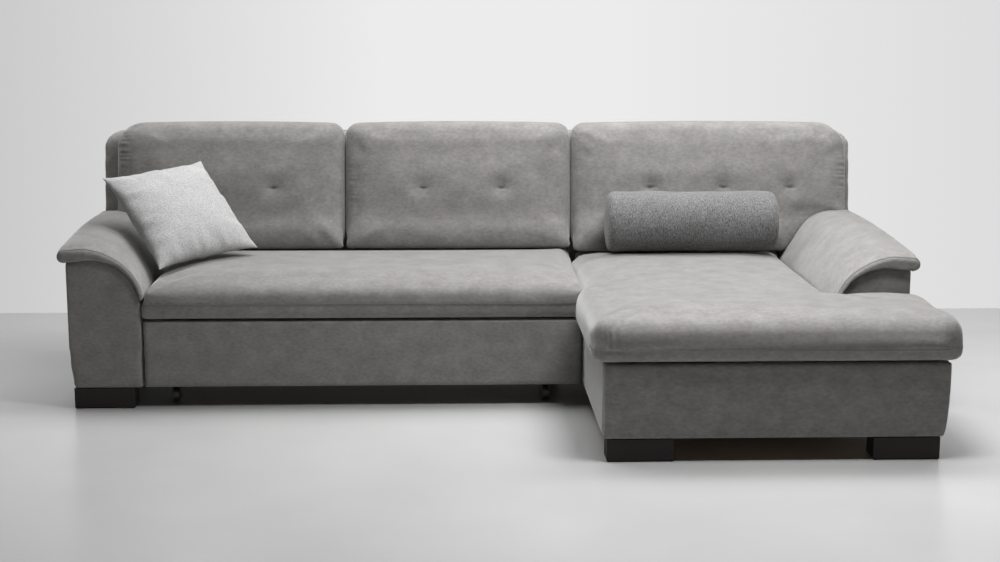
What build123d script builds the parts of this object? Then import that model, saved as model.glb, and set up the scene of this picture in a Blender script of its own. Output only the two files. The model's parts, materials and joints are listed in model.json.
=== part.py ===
from build123d import *
from math import asin, cos, degrees, radians, sin, tan
import os

os.makedirs("parts", exist_ok=True)

# Plan of the sofa in millimetres: X to the viewer's right, Y to the back, Z up from the floor
arm_width = 238
bay_width = 1450
chaise_width = 1022
sofa_depth = 910
chaise_reach = 661
right_arm_reach = 212
pad_overhang = 26
cushion_overhang = 36
nose_overhang = 14

# Heights above the floor
foot_height = 68
panel_top = 296
seat_underside = 301
seat_top = 446
shell_top = 846
back_top = 886

# Seat cushions: crowned tops, rolled noses and sides drawn in towards the underside
crown_rise = 12
crown_border = 130
seat_nose = 62
seat_side_roll = 40
seat_rear_roll = 70
seat_back_gap = 12
chaise_nose = 44
chaise_corner = 48
chaise_inner_corner = 30
shoulder_length = 90
draw_in_depth = 6
draw_in_height = 22

# Fits
soft_gap = 1
rest_gap = 0.5
panel_gap = 4
pivot_clearance = 0.4
overcut = 1

# The back: an upright foot that leans from the seat upwards
shell_depth = 242
lean_start = 430
back_lean = 9
shell_edge_radius = 48
shell_corner_radius = 50
back_thickness = 98
back_drop = 4
back_crown_rise = 14
back_crown_border = 90
back_nose = 42
outer_radius = 92
inner_radius = 48
lower_radius = 44
back_inset_left = 48
back_inset_right = 12
back_seam_shift = 5
tuft_height = 222
tuft_radius = 34
tuft_depth = 12
tuft_pit_radius = 4
pair_shares = (0.345, 0.69)
triple_shares = (0.285, 0.552, 0.795)

# Arm outline, measured inwards from the outer face
core_top = 500
core_top_fall = 8
arch_start = 80
toe_depth = 14
toe_height = 86
pad_top = 541
pad_top_fall = 4
pad_flat_width = 62
pad_shoulder_inset = 58
pad_shoulder_share = 0.63
pad_nose_drop = 10
pad_lip = 14
pad_lip_height = 372
pad_lip_thickness = 16
pad_proud = 14
pad_edge_radius = 9

# Boards and panels
panel_thickness = 24
board_thickness = 18
end_panel_setback = 46
connector_gap = 6
connector_width = 60
connector_low = 150
connector_height = 120
connector_shares = (0.25, 0.8)
pocket_margin = 34
rear_rail_drop = 60
rear_rail_below_back = 14

# Seat frame
rail_width = 40
frame_height = 30
cross_rails = 6
webbing_count = 9
webbing_width = 60
webbing_thickness = 2

# Feet
foot_width = 197
foot_depth = 80
foot_inset = 12
foot_setback = 3
foot_chamfer = 4
rear_foot_size = 60

# Bed drawer and its running gear
drawer_front_thickness = 38
drawer_front_lift = 2
panel_edge_radius = 9
drawer_side_height = 126
drawer_floor_height = 84
drawer_rear_gap = 12
side_clearance = 20
cross_rail_size = 30
cross_rail_shares = (0.1, 0.55, 1)
bed_frame_underside = 150
bed_frame_height = 26
bed_slats = 7
bed_cushion_top = 287
bed_roll = 34
bed_side_gap = 22
bed_front_gap = 14
bed_rear_gap = 16
rail_wall = 2
rail_depth = 16
rail_height = 56
rail_underside = 110
roller_diameter = 48
roller_width = 8
roller_setback = 30
roller_offset = 5
roller_axle = 6
wheel_diameter = 50
wheel_width = 20
wheel_axle = 8
wheel_setback = 86
wheel_side = 96
floor_clearance = 0.4
axle_overhang = 2
fork_thickness = 3
fork_clearance = 2
fork_width = 28
fork_foot = 12
fork_plate = 48
lift_arm_length = 180
lift_arm_width = 26
lift_arm_thickness = 5
lift_arm_gap = 8
lift_pivot_height = 24
lift_shares = (0.194, 0.615)

# Lid fitting: swing arms carry the lid, a pin in a curved slot tilts it
lid_rear_gap = 91
lid_side_gap = 18
lid_arm_length = 170
lid_arm_rest = 70
lid_arm_swing = 65
lid_tilt = 20
lid_pivot_height = 214
lid_pivot_inset = 62
pin_ahead = 40
pin_below = 70
pivot_diameter = 10
plate_thickness = 4
plate_margin = 24
plate_top_margin = 16
plate_corner = 12
bracket_offset = 8
bracket_ahead = 84
bracket_behind = 40
bracket_margin = 15
flange_width = 38
lid_arm_offset = 15
lid_arm_thickness = 5
lid_arm_width = 28

# Loose cushions
scatter_size = 410
scatter_inset = 85
scatter_ahead = 318
scatter_height = 596.3
scatter_half_thickness = 68
scatter_pull = 13
scatter_turn = 39.5
scatter_lean = 45.5
scatter_tip = 6
bolster_length = 612
bolster_radius = 105
bolster_inset = 420
bolster_ahead = 210
bolster_edge = 24
bolster_sink = 5

# Positions that follow from the plan
overall_width = pad_overhang + arm_width + bay_width + chaise_width + cushion_overhang
overall_depth = nose_overhang + chaise_reach + sofa_depth
arm_outer = pad_overhang - overall_width / 2
bay_left = arm_outer + arm_width
bay_right = bay_left + bay_width
chaise_right = bay_right + chaise_width
rear = overall_depth / 2
sofa_front = rear - sofa_depth
chaise_front = sofa_front - chaise_reach
right_arm_front = sofa_front - right_arm_reach
right_arm_inner = chaise_right - arm_width
shell_front = rear - shell_depth
seat_reach = shell_front - sofa_front
lid_rear = shell_front - lid_rear_gap
end_panel_inner = bay_right - connector_gap - board_thickness
box_left_inner = bay_right + panel_thickness
box_right_inner = right_arm_inner - board_thickness
back_outward = (0, -cos(radians(back_lean)), sin(radians(back_lean)))
back_plane = Plane((0, shell_front, lean_start), (1, 0, 0), back_outward)


def write(builder, label):
    builder.part.label = label
    export_step(builder.part, f"parts/{label}.step")


def block(x_from, x_to, y_from, y_to, z_from, z_to, mode=Mode.ADD):
    """A box by its limits."""
    with Locations(((x_from + x_to) / 2, (y_from + y_to) / 2, (z_from + z_to) / 2)):
        Box(x_to - x_from, y_to - y_from, z_to - z_from, mode=mode)


def roll_edge(edges_of, axis, radius):
    """Rolls the rim of a cushion's outermost face over in three flats that follow a quarter circle."""
    eighth = tan(radians(22.5))
    chamfer(edges_of().group_by(axis)[-1], radius * (1 - eighth))
    levels = edges_of().group_by(axis)
    chamfer(levels[-1] + levels[-3], radius * (eighth - tan(radians(11.25))))


def crown(face_plane, width, depth, rise, border):
    """Raises the crown of a cushion on its flat face; the plane is centred on that face."""
    with Locations(face_plane.offset(rise / 2).location):
        Wedge(width, rise, depth, border, border, width - border, depth - border, rotation=(90, 0, 0))


def boxed_lines(low, high, base, top, low_roll, high_roll):
    """Section of a boxed cushion: drawn in at its underside and rolled over at its top edges."""
    waist = base + draw_in_height
    Polyline((low, waist), (low + draw_in_depth, base), (high - draw_in_depth, base), (high, waist))
    Line((high, waist), (high, top - high_roll))
    TangentArc((high, top - high_roll), (high - high_roll, top), tangent=(0, 1))
    Line((high - high_roll, top), (low + low_roll, top))
    TangentArc((low + low_roll, top), (low, top - low_roll), tangent=(-1, 0))
    Line((low, top - low_roll), (low, waist))


# Feet: wide blocks in front, plain blocks at the back
left_foot_x = arm_outer + foot_inset + foot_width / 2
chaise_left_foot_x = bay_right + foot_inset + foot_width / 2
chaise_right_foot_x = chaise_right - toe_depth - foot_inset - foot_width / 2
front_foot_y = foot_setback + foot_depth / 2
front_feet = {
    "foot_left_front": (left_foot_x, sofa_front + front_foot_y),
    "foot_chaise_front_left": (chaise_left_foot_x, chaise_front + front_foot_y),
    "foot_chaise_front_right": (chaise_right_foot_x, chaise_front + front_foot_y),
}
rear_foot_y = (shell_front + rear) / 2
rear_feet = {
    "foot_rear_left": (arm_outer + toe_depth + rear_foot_size, rear_foot_y),
    "foot_rear_middle": (bay_right - rear_foot_size, rear_foot_y),
    "foot_rear_right": (chaise_right - toe_depth - rear_foot_size, rear_foot_y),
}


def make_foot(name, spot, width, depth):
    x, y = spot
    with BuildPart() as foot:
        block(x - width / 2, x + width / 2, y - depth / 2, y + depth / 2, 0, foot_height)
        chamfer(foot.edges().group_by(Axis.Z)[0], foot_chamfer)
    write(foot, name)


for foot_name, foot_spot in front_feet.items():
    make_foot(foot_name, foot_spot, foot_width, foot_depth)
for foot_name, foot_spot in rear_feet.items():
    make_foot(foot_name, foot_spot, rear_foot_size, rear_foot_size)


# Back shells: upright up to the seat, then leaning, with a rounded top
def shell_lines():
    """Side outline of the back, in Y and Z."""
    slope = tan(radians(back_lean))
    Polyline(
        (shell_front, foot_height),
        (shell_front, lean_start),
        (shell_front + (shell_top - lean_start) * slope, shell_top),
        (rear, shell_top),
        (rear, foot_height),
        close=True,
    )


def make_shell(label, left, right, round_left):
    with BuildPart() as shell:
        with BuildSketch(Plane.YZ.offset(left)):
            with BuildLine():
                shell_lines()
            make_face()
            fillet(vertices().group_by(Axis.Y)[-1], shell_edge_radius)
        extrude(amount=right - left)
        with BuildSketch(Plane.XZ.offset(-rear)) as front_view:
            with Locations(((left + right) / 2, (foot_height + shell_top) / 2)):
                Rectangle(right - left, shell_top - foot_height)
            top = front_view.vertices().group_by(Axis.Y)[-1].sort_by(Axis.X)
            fillet(top[0] if round_left else top[-1], shell_corner_radius)
        extrude(amount=sofa_depth, mode=Mode.INTERSECT)
    write(shell, label)


make_shell("sofa_back_shell", arm_outer, bay_right - connector_gap, True)
make_shell("chaise_back_shell", bay_right, chaise_right, False)


# Arms: an upright core with a quarter arch towards the seat, and a pad wrapped over the arch
def core_lines(outer, inward):
    """Front outline of an arm core."""
    def at(across, height):
        return (outer + inward * across, height)

    arch = arm_width - arch_start
    centre = core_top - arch
    half = radians(45)
    Line(at(toe_depth, foot_height), at(arm_width, foot_height))
    Line(at(arm_width, foot_height), at(arm_width, centre))
    ThreePointArc(
        at(arm_width, centre),
        at(arch_start + arch * sin(half), centre + arch * cos(half)),
        at(arch_start, core_top),
    )
    Line(at(arch_start, core_top), at(0, core_top - core_top_fall))
    Line(at(0, core_top - core_top_fall), at(0, foot_height + toe_height))
    TangentArc(at(0, foot_height + toe_height), at(toe_depth, foot_height), tangent=(0, -1))


def pad_lines(outer, inward, shrink=0):
    """Front outline of an arm pad before the core is taken out of it."""
    def at(across, height):
        return (outer + inward * across, height)

    lip = arm_width + pad_lip - shrink
    lip_foot = pad_lip_height - pad_lip_thickness
    top = pad_top - shrink
    overhang = pad_overhang - shrink
    nose_top = top - pad_top_fall
    nose_foot = core_top - pad_nose_drop
    shoulder = pad_lip_height + pad_shoulder_share * (top - pad_lip_height)
    ThreePointArc(at(lip, pad_lip_height), at(lip - pad_shoulder_inset, shoulder), at(pad_flat_width, top))
    Line(at(pad_flat_width, top), at(0, nose_top))
    ThreePointArc(at(0, nose_top), at(-overhang, (nose_top + nose_foot) / 2), at(0, nose_foot))
    Line(at(0, nose_foot), at(arm_width, lip_foot))
    Line(at(arm_width, lip_foot), at(lip, pad_lip_height))


def make_arm(side, outer, inward, front):
    """Core and pad of one arm, running back to the shell."""
    with BuildPart() as core:
        with BuildSketch(Plane.XZ.offset(-rear)):
            with BuildLine():
                core_lines(outer, inward)
            make_face()
        extrude(amount=rear - front)
        with BuildSketch(Plane.YZ.offset(arm_outer)):
            with BuildLine():
                shell_lines()
            make_face()
        extrude(amount=overall_width, mode=Mode.SUBTRACT)
    write(core, f"{side}_arm_core")

    with BuildPart() as pad:
        for setback, shrink in ((0, pad_edge_radius), (pad_edge_radius, 0)):
            with BuildSketch(Plane.XZ.offset(pad_proud - front - setback)):
                with BuildLine():
                    pad_lines(outer, inward, shrink)
                make_face()
        loft(ruled=True)
        with BuildSketch(Plane.XZ.offset(-rear)):
            with BuildLine():
                pad_lines(outer, inward)
            make_face()
        extrude(amount=rear - front + pad_proud - pad_edge_radius)
        with BuildSketch(Plane.XZ.offset(-rear)):
            with BuildLine():
                core_lines(outer, inward)
            make_face()
        extrude(amount=rear - front + pad_proud, mode=Mode.SUBTRACT)
        with BuildSketch(Plane.YZ.offset(arm_outer - pad_overhang)):
            with BuildLine():
                shell_lines()
            make_face()
            offset(amount=soft_gap)
        extrude(amount=overall_width, mode=Mode.SUBTRACT)
    write(pad, f"{side}_arm_pad")


make_arm("left", arm_outer, 1, sofa_front)
make_arm("right", chaise_right, -1, right_arm_front)


# Back cushions: crowned, with rolled edges and sewn tufts, cut to fit round the arms
def tuft_lines():
    """Half section of a sewn tuft: a small pit with soft flanks."""
    Polyline(
        (0, -tuft_depth), (tuft_pit_radius, -tuft_depth), (tuft_radius, 0),
        (tuft_radius, overcut), (0, overcut),
        close=True,
    )


def make_back_cushion(label, left, right, corners, tufts, arm=None):
    """corners are the radii at the bottom left, bottom right, top right and top left."""
    base = -back_drop
    top = (back_top - lean_start) / cos(radians(back_lean)) - back_thickness * tan(radians(back_lean)) / 2
    flat = back_thickness - back_crown_rise
    with BuildPart() as cushion:
        with BuildSketch(back_plane):
            with BuildLine():
                FilletPolyline(
                    (left, base), (right, base), (right, top), (left, top), radius=corners, close=True
                )
            make_face()
        extrude(amount=flat)
        roll_edge(cushion.edges, Axis((0, 0, 0), back_plane.z_dir), back_nose)
        middle = back_plane.from_local_coords(((left + right) / 2, (base + top) / 2, flat))
        crown(
            Plane(middle, (1, 0, 0), back_plane.z_dir),
            right - left - 2 * outer_radius, top - base - 2 * outer_radius,
            back_crown_rise, back_crown_border
        )
        for across in tufts:
            tuft_x = left + across * (right - left)
            tuft_spot = back_plane.from_local_coords((tuft_x, tuft_height, back_thickness))
            with BuildSketch(Plane(tuft_spot, (1, 0, 0), -back_plane.y_dir)):
                with BuildLine():
                    tuft_lines()
                make_face()
            revolve(axis=Axis(tuft_spot, back_plane.z_dir), mode=Mode.SUBTRACT)
        if arm:
            outer, inward = arm
            with BuildSketch(Plane.XZ.offset(-rear)):
                with BuildLine():
                    core_lines(outer, inward)
                make_face()
                with BuildLine():
                    pad_lines(outer, inward)
                make_face()
                offset(amount=soft_gap)
            extrude(amount=rear - right_arm_front, mode=Mode.SUBTRACT)
    write(cushion, label)


back_left = arm_outer + back_inset_left
back_right = chaise_right - back_inset_right
back_joint = bay_right + back_seam_shift
back_middle = (back_left + back_joint) / 2
make_back_cushion(
    "back_cushion_left", back_left, back_middle - soft_gap,
    (lower_radius, lower_radius, inner_radius, outer_radius), pair_shares, (arm_outer, 1)
)
make_back_cushion(
    "back_cushion_middle", back_middle + soft_gap, back_joint - soft_gap,
    (lower_radius, lower_radius, inner_radius, inner_radius), pair_shares
)
make_back_cushion(
    "back_cushion_right", back_joint + soft_gap, back_right,
    (lower_radius, lower_radius, outer_radius, inner_radius), triple_shares, (chaise_right, -1)
)

# Bench seat: frame, webbing, end panel and cushion
seat_left = bay_left + pad_lip + soft_gap
seat_right = bay_right - panel_gap
seat_near = sofa_front - nose_overhang
seat_far = shell_front - seat_back_gap
frame_left = seat_left + pocket_margin
frame_right = seat_right - pocket_margin
frame_near = seat_near + pocket_margin
frame_far = seat_far - pocket_margin
webbing_top = seat_underside + frame_height + webbing_thickness

with BuildPart() as seat_frame:
    for near in (frame_near, frame_far - rail_width):
        block(frame_left, frame_right, near, near + rail_width, seat_underside, seat_underside + frame_height)
    for number in range(cross_rails):
        left = frame_left + (frame_right - frame_left - rail_width) * number / (cross_rails - 1)
        block(left, left + rail_width, frame_near, frame_far, seat_underside, seat_underside + frame_height)
write(seat_frame, "seat_frame")

with BuildPart() as seat_webbing:
    for number in range(webbing_count):
        left = frame_left + (frame_right - frame_left) * (number + 0.5) / webbing_count - webbing_width / 2
        block(left, left + webbing_width, frame_near, frame_far, seat_underside + frame_height, webbing_top)
write(seat_webbing, "seat_webbing")

with BuildPart() as seat_cushion:
    seat_width = seat_right - seat_left
    seat_depth = seat_far - seat_near
    seat_flat = seat_top - crown_rise
    seat_middle = ((seat_left + seat_right) / 2, (seat_near + seat_far) / 2, seat_flat)
    tuck_left = bay_left + soft_gap
    tuck_height = pad_lip_height - pad_lip_thickness - panel_gap - seat_underside
    with BuildSketch(Plane.YZ.offset(tuck_left)):
        with BuildLine():
            boxed_lines(seat_near, seat_far, seat_underside, seat_flat, seat_nose, seat_rear_roll)
        make_face()
    extrude(amount=seat_right - tuck_left)
    with BuildSketch(Plane.XZ.offset(-seat_far)):
        with BuildLine():
            boxed_lines(seat_left, seat_right, seat_underside, seat_flat, seat_side_roll, seat_side_roll)
        make_face()
        with Locations((tuck_left, seat_underside)):
            Rectangle(pocket_margin, tuck_height, align=(Align.MIN, Align.MIN))
    extrude(amount=seat_depth, mode=Mode.INTERSECT)
    crown(
        Plane(seat_middle), seat_width - 2 * seat_side_roll, seat_depth - seat_nose - seat_rear_roll,
        crown_rise, crown_border
    )
    block(
        frame_left, frame_right, frame_near, frame_far, seat_underside, webbing_top, mode=Mode.SUBTRACT
    )
write(seat_cushion, "seat_cushion")

with BuildPart() as sofa_end_panel:
    block(
        end_panel_inner, end_panel_inner + board_thickness, sofa_front + end_panel_setback, shell_front,
        foot_height, seat_underside
    )
write(sofa_end_panel, "sofa_end_panel")

with BuildPart() as module_connectors:
    for share in connector_shares:
        near = sofa_front + share * seat_reach - connector_width / 2
        block(
            bay_right - connector_gap, bay_right, near, near + connector_width,
            connector_low, connector_low + connector_height
        )
write(module_connectors, "module_connectors")


# Chaise box: panels, floor and the rail behind the lid
def toe_edge(x, inward):
    """Outer edge of a front panel: upright, drawn in at the floor."""
    Line((x, panel_top), (x, foot_height + toe_height))
    TangentArc((x, foot_height + toe_height), (x + inward * toe_depth, foot_height), tangent=(0, -1))


with BuildPart() as chaise_front_panel:
    with BuildSketch(Plane.XZ.offset(-chaise_front)):
        with BuildLine():
            toe_edge(chaise_right, -1)
            Polyline(
                (chaise_right - toe_depth, foot_height), (bay_right, foot_height), (bay_right, panel_top),
                (chaise_right, panel_top)
            )
        make_face()
    extrude(amount=-panel_thickness)
    fillet(chaise_front_panel.faces().sort_by(Axis.Y)[0].edges(), panel_edge_radius)
write(chaise_front_panel, "chaise_front_panel")

with BuildPart() as chaise_left_panel:
    block(bay_right, box_left_inner, chaise_front + panel_thickness, shell_front, foot_height, panel_top)
write(chaise_left_panel, "chaise_left_panel")

with BuildPart() as chaise_right_panel:
    with BuildSketch(Plane.XZ.offset(-right_arm_front)):
        with BuildLine():
            toe_edge(chaise_right, -1)
            Polyline(
                (chaise_right - toe_depth, foot_height),
                (chaise_right - panel_thickness - toe_depth, foot_height),
                (chaise_right - panel_thickness, foot_height + toe_height),
                (chaise_right - panel_thickness, panel_top), (chaise_right, panel_top)
            )
        make_face()
    extrude(amount=right_arm_front - chaise_front - panel_thickness)
write(chaise_right_panel, "chaise_right_panel")

with BuildPart() as chaise_floor:
    floor_top = foot_height + board_thickness
    floor_near = chaise_front + panel_thickness
    floor_right = chaise_right - panel_thickness - toe_depth
    block(box_left_inner, right_arm_inner, floor_near, shell_front, foot_height, floor_top)
    block(right_arm_inner, floor_right, floor_near, right_arm_front, foot_height, floor_top)
write(chaise_floor, "chaise_floor")

with BuildPart() as chaise_arm_panel:
    block(box_right_inner, right_arm_inner, right_arm_front, shell_front, floor_top, panel_top)
write(chaise_arm_panel, "chaise_arm_panel")

with BuildPart() as chaise_rear_rail:
    rail_near = lid_rear + 3 * panel_gap
    block(
        box_left_inner, box_right_inner, rail_near, shell_front,
        panel_top - rear_rail_drop, lean_start - rear_rail_below_back
    )
write(chaise_rear_rail, "chaise_rear_rail")

# Chaise lid: board and L-shaped cushion
lid_left = bay_right + panel_gap
lid_right = right_arm_inner - lid_side_gap
wing_left = bay_right - cushion_overhang
wing_right = chaise_right + cushion_overhang
wing_rear = right_arm_front - pad_proud - 2 * panel_gap
shoulder_rear = seat_near - 2 * panel_gap
lid_near = chaise_front - nose_overhang


def lid_board_lines():
    Polyline(
        (lid_left + pocket_margin, lid_near + pocket_margin),
        (wing_right - 2 * pocket_margin, lid_near + pocket_margin),
        (wing_right - 2 * pocket_margin, wing_rear - pocket_margin),
        (lid_right - pocket_margin, wing_rear - pocket_margin),
        (lid_right - pocket_margin, lid_rear - pocket_margin / 2),
        (lid_left + pocket_margin, lid_rear - pocket_margin / 2),
        close=True,
    )


with BuildPart() as lid_board:
    with BuildSketch(Plane.XY.offset(seat_underside)):
        with BuildLine():
            lid_board_lines()
        make_face()
    extrude(amount=board_thickness)
write(lid_board, "lid_board")

with BuildPart() as chaise_cushion:
    with BuildSketch(Plane.XY.offset(seat_underside)):
        with BuildLine():
            FilletPolyline(
                (wing_left, lid_near), (wing_right, lid_near), (wing_right, wing_rear),
                (lid_right, wing_rear), (lid_right, lid_rear), (lid_left, lid_rear), (lid_left, shoulder_rear),
                (wing_left, shoulder_rear - shoulder_length),
                radius=(
                    chaise_corner, chaise_corner, chaise_corner, chaise_inner_corner,
                    chaise_corner, chaise_corner, chaise_corner, chaise_corner
                ),
                close=True,
            )
        make_face()
    extrude(amount=seat_top - crown_rise - seat_underside)
    roll_edge(chaise_cushion.edges, Axis.Z, chaise_nose)
    chamfer(chaise_cushion.faces().sort_by(Axis.Z)[0].edges(), draw_in_height, draw_in_depth)
    chaise_middle = ((lid_left + lid_right) / 2, (lid_near + lid_rear) / 2, seat_top - crown_rise)
    crown(
        Plane(chaise_middle),
        lid_right - lid_left - 2 * chaise_corner, lid_rear - lid_near - 2 * chaise_corner,
        crown_rise, crown_border
    )
    with BuildSketch(Plane.XY.offset(seat_underside)):
        with BuildLine():
            lid_board_lines()
        make_face()
    extrude(amount=board_thickness, mode=Mode.SUBTRACT)
write(chaise_cushion, "chaise_cushion")

# Lid fitting on both sides of the storage box
lid_pivot_y = lid_rear - lid_pivot_inset
arm_pivot_y = lid_pivot_y - lid_arm_length * sin(radians(lid_arm_rest))
arm_pivot_height = lid_pivot_height - lid_arm_length * cos(radians(lid_arm_rest))
bracket_middle = bracket_offset + plate_thickness / 2
pivot_end = lid_arm_offset + lid_arm_thickness + axle_overhang


def guide_pin(fraction):
    """Where the guide pin is, in Y and Z, at a fraction of the lid's travel."""
    swing = radians(lid_arm_rest - lid_arm_swing * fraction)
    tilt = radians(lid_tilt * fraction)
    back = lid_arm_length * sin(swing) - pin_ahead * cos(tilt) - pin_below * sin(tilt)
    up = lid_arm_length * cos(swing) + pin_ahead * sin(tilt) - pin_below * cos(tilt)
    return (arm_pivot_y + back, arm_pivot_height + up)


def round_bar(wall, inward, near, far, y, z, diameter):
    """A pin across the box, between two distances from the side wall."""
    middle = wall + inward * (near + far) / 2
    with Locations(Location((middle, y, z), (0, 90, 0))):
        Cylinder(diameter / 2, far - near)


for side, wall, inward in (("left", box_left_inner, 1), ("right", box_right_inner, -1)):
    pin_y, pin_z = guide_pin(0)
    slot_end_y, slot_end_z = guide_pin(1)

    with BuildPart() as guide_plate:
        with BuildSketch(Plane.YZ.offset(wall)):
            with BuildLine(mode=Mode.PRIVATE):
                slot_path = ThreePointArc(guide_pin(0), guide_pin(0.5), guide_pin(1))
            with BuildLine():
                plate_near = slot_end_y - plate_margin
                plate_far = pin_y + plate_margin
                plate_low = pin_z - plate_margin
                plate_high = slot_end_z + plate_top_margin
                FilletPolyline(
                    (plate_near, plate_low), (plate_far, plate_low),
                    (plate_far, plate_high), (plate_near, plate_high),
                    radius=plate_corner, close=True
                )
            make_face()
            SlotArc(slot_path, pivot_diameter + 3 * pivot_clearance, mode=Mode.SUBTRACT)
        extrude(amount=inward * plate_thickness)
        round_bar(wall, inward, plate_thickness / 2, pivot_end, arm_pivot_y, arm_pivot_height, pivot_diameter)
    write(guide_plate, f"lid_guide_plate_{side}")

    with BuildPart() as lid_bracket:
        with BuildSketch(Plane.YZ.offset(wall + inward * bracket_offset)):
            with BuildLine():
                Polyline(
                    (lid_pivot_y + bracket_behind, seat_underside),
                    (lid_pivot_y + bracket_margin, lid_pivot_height),
                    (pin_y + bracket_margin, pin_z - bracket_margin),
                    (pin_y - bracket_margin, pin_z - bracket_margin),
                    (lid_pivot_y - bracket_ahead, seat_underside),
                    close=True,
                )
            make_face()
        extrude(amount=inward * plate_thickness)
        flange = sorted((wall + inward * bracket_offset, wall + inward * (bracket_offset + flange_width)))
        block(
            *flange, lid_pivot_y - bracket_ahead, lid_pivot_y + bracket_behind,
            seat_underside - plate_thickness, seat_underside
        )
        round_bar(wall, inward, rest_gap, bracket_middle, pin_y, pin_z, pivot_diameter)
        round_bar(wall, inward, bracket_middle, pivot_end, lid_pivot_y, lid_pivot_height, pivot_diameter)
    write(lid_bracket, f"lid_bracket_{side}")

    with BuildPart() as lid_arm:
        arm_middle = ((arm_pivot_y + lid_pivot_y) / 2, (arm_pivot_height + lid_pivot_height) / 2)
        with BuildSketch(Plane.YZ.offset(wall + inward * lid_arm_offset)):
            with Locations(Location((*arm_middle, 0), (0, 0, 90 - lid_arm_rest))):
                SlotCenterToCenter(lid_arm_length, lid_arm_width)
            with Locations((arm_pivot_y, arm_pivot_height), (lid_pivot_y, lid_pivot_height)):
                Circle(pivot_diameter / 2 + pivot_clearance, mode=Mode.SUBTRACT)
        extrude(amount=inward * lid_arm_thickness)
    write(lid_arm, f"lid_arm_{side}")

# Bed drawer: front, sides and cross rails
with BuildPart() as drawer_front:
    block(
        bay_left + panel_gap, bay_right - panel_gap, sofa_front, sofa_front + drawer_front_thickness,
        foot_height + drawer_front_lift, panel_top - soft_gap
    )
    fillet(drawer_front.faces().sort_by(Axis.Y)[0].edges(), panel_edge_radius)
write(drawer_front, "drawer_front")

drawer_near = sofa_front + drawer_front_thickness
drawer_far = shell_front - drawer_rear_gap
drawer_left = bay_left + side_clearance
drawer_right = end_panel_inner - side_clearance
side_top = drawer_floor_height + drawer_side_height
for side, wall, inward in (("left", bay_left, 1), ("right", end_panel_inner, -1)):
    with BuildPart() as drawer_side:
        outer_face = wall + inward * side_clearance
        limits = sorted((outer_face, outer_face + inward * board_thickness))
        block(*limits, drawer_near, drawer_far, drawer_floor_height, side_top)
    write(drawer_side, f"drawer_side_{side}")

inner_left = drawer_left + board_thickness
inner_right = drawer_right - board_thickness
with BuildPart() as drawer_cross_rails:
    span = drawer_far - drawer_near - cross_rail_size
    for share in cross_rail_shares:
        near = drawer_near + span * share
        block(
            inner_left, inner_right, near, near + cross_rail_size,
            drawer_floor_height, drawer_floor_height + cross_rail_size
        )
write(drawer_cross_rails, "drawer_cross_rails")

# Bed section: frame with slats, cushion and folded lift arms
bed_left = inner_left + bed_side_gap
bed_right = inner_right - bed_side_gap
bed_near = drawer_near + bed_front_gap
bed_far = drawer_far - bed_rear_gap
bed_frame_top = bed_frame_underside + bed_frame_height
with BuildPart() as bed_frame:
    for near in (bed_near, bed_far - rail_width):
        block(bed_left, bed_right, near, near + rail_width, bed_frame_underside, bed_frame_top)
    for number in range(bed_slats):
        left = bed_left + (bed_right - bed_left - rail_width) * number / (bed_slats - 1)
        block(left, left + rail_width, bed_near, bed_far, bed_frame_underside, bed_frame_top)
write(bed_frame, "bed_frame")

with BuildPart() as bed_cushion:
    bed_width = bed_right - bed_left
    bed_depth = bed_far - bed_near
    bed_base = bed_frame_top + rest_gap
    bed_flat = bed_cushion_top - crown_rise
    bed_middle = ((bed_left + bed_right) / 2, (bed_near + bed_far) / 2, bed_flat)
    with BuildSketch(Plane.YZ.offset(bed_left)):
        with BuildLine():
            boxed_lines(bed_near, bed_far, bed_base, bed_flat, bed_roll, bed_roll)
        make_face()
    extrude(amount=bed_width)
    with BuildSketch(Plane.XZ.offset(-bed_far)):
        with BuildLine():
            boxed_lines(bed_left, bed_right, bed_base, bed_flat, bed_roll, bed_roll)
        make_face()
    extrude(amount=bed_depth, mode=Mode.INTERSECT)
    crown(Plane(bed_middle), bed_width - 2 * bed_roll, bed_depth - 2 * bed_roll, crown_rise, crown_border)
write(bed_cushion, "bed_cushion")

lift_low = drawer_floor_height + lift_pivot_height
lift_drop = bed_frame_underside + bed_frame_height / 2 - lift_low
lift_angle = degrees(asin(lift_drop / lift_arm_length))
lift_run = lift_arm_length * cos(radians(lift_angle))
lift_middle = lift_arm_gap + lift_arm_thickness / 2
for side, wall, inward in (("left", inner_left, 1), ("right", inner_right, -1)):
    with BuildPart() as lift_arms:
        for share in lift_shares:
            y = drawer_near + share * (drawer_far - drawer_near)
            with BuildSketch(Plane.YZ.offset(wall + inward * lift_arm_gap)):
                with Locations(Location((y + lift_run / 2, lift_low + lift_drop / 2), lift_angle)):
                    SlotCenterToCenter(lift_arm_length, lift_arm_width)
            extrude(amount=inward * lift_arm_thickness)
            round_bar(wall, inward, 0, lift_middle, y, lift_low, wheel_axle)
            round_bar(wall, inward, lift_middle, bed_side_gap, y + lift_run, lift_low + lift_drop, wheel_axle)
    write(lift_arms, f"bed_lift_arms_{side}")

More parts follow.
